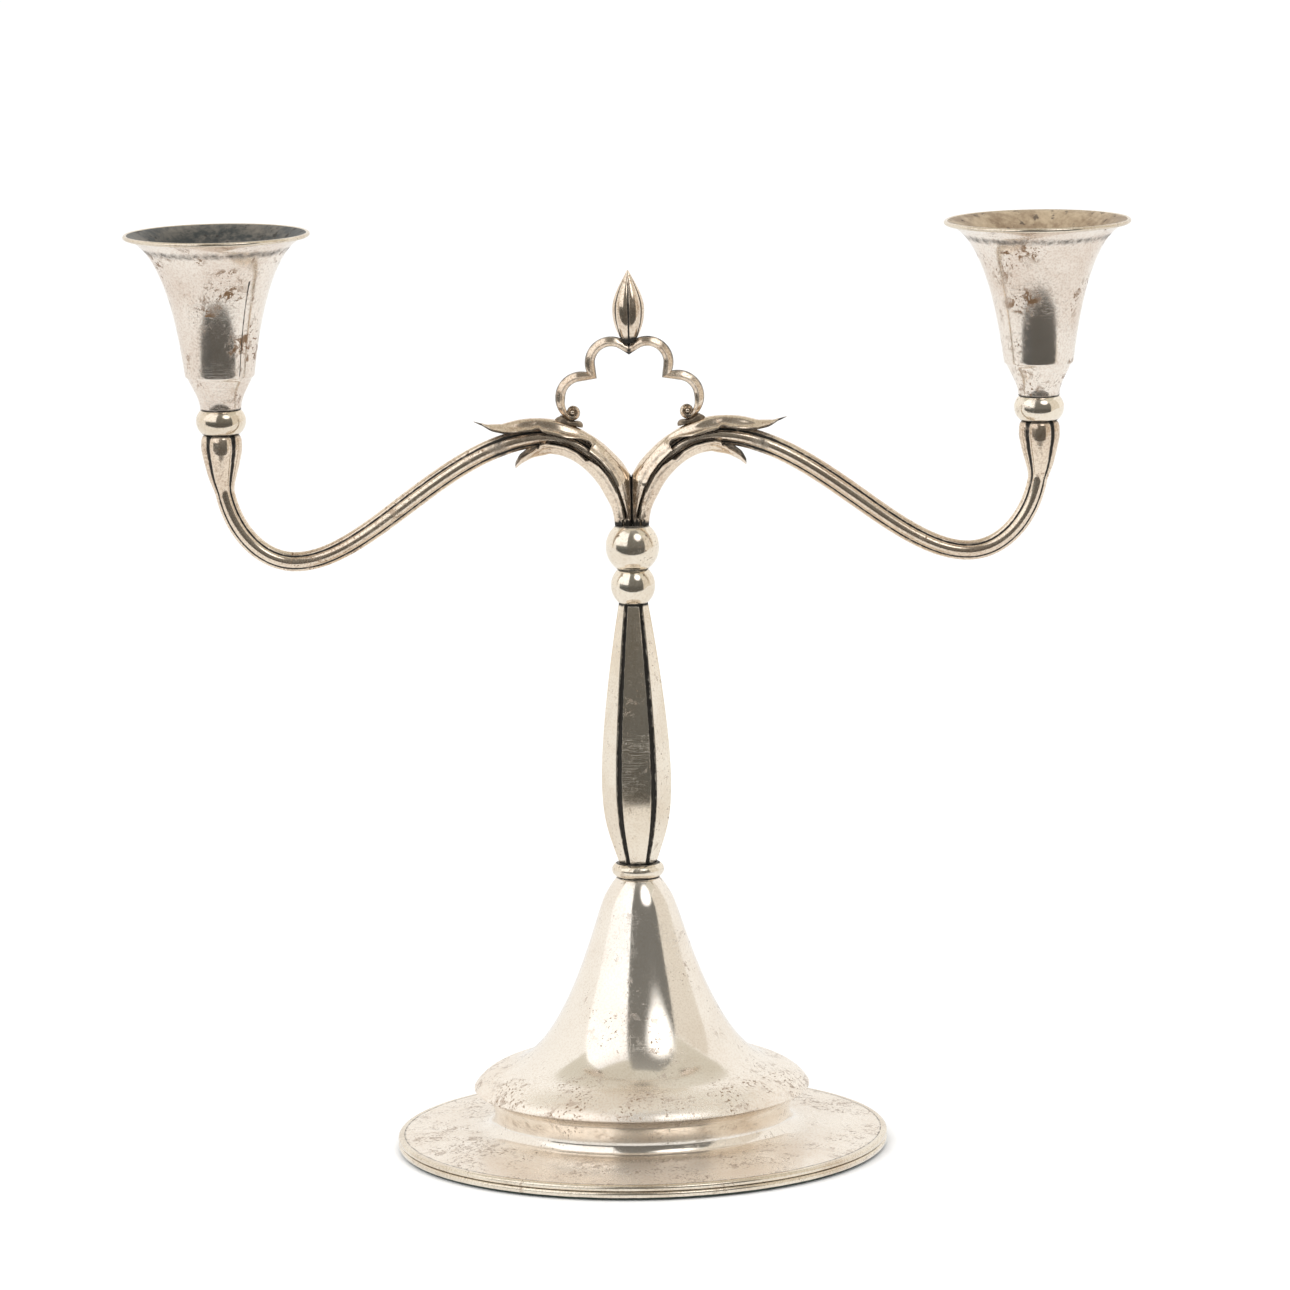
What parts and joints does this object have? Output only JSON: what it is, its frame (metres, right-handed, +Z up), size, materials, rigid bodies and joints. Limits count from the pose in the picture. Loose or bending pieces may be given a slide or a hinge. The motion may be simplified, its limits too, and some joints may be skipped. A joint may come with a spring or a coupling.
{
  "type": "two-light candlestick",
  "caption": "Silver candlestick with a round weighted foot, a hexagonal baluster stem, curved arms with leaf sheaths, flared candle sockets and a trefoil arch with a bud finial.",
  "frame": {"origin": "on the table under the centre of the stem, at the bottom of the felt pad", "axes": "+Z up along the stem, +X towards the right-hand socket, +Y towards the back"},
  "size_m": [0.3218, 0.159, 0.3],
  "materials": {
    "silver": "polished sterling silver with a warm, lightly tarnished surface and dark crevices",
    "oxidised_silver": "silver and solder left dull and darkened by tarnish",
    "steel": "plain machined steel, hidden inside",
    "felt": "dense dark green baize",
    "pitch": "cast pitch filling, hidden inside"
  },
  "bodies": {
    "root": {"foot_shell": "silver", "foot_rim_wire": "silver", "stem_collar": "silver", "baluster": "silver", "lower_knop": "silver", "upper_knop": "silver", "left_arm": "silver", "right_arm": "silver", "left_upper_leaf": "silver", "right_upper_leaf": "silver", "left_lower_leaf": "silver", "right_lower_leaf": "silver", "trefoil_arch": "silver", "bud_finial": "silver", "left_bead": "silver", "right_bead": "silver", "left_cup": "silver", "right_cup": "silver", "left_rim_wire": "silver", "right_rim_wire": "silver", "left_arch_foot": "oxidised_silver", "right_arch_foot": "oxidised_silver", "left_stud_nut": "oxidised_silver", "right_stud_nut": "oxidised_silver", "closing_plate": "oxidised_silver", "tie_rod": "steel", "tie_rod_washer": "steel", "tie_rod_nut": "steel", "left_stud": "steel", "right_stud": "steel", "felt_pad": "felt", "foot_filling": "pitch"}
  },
  "joints": []
}
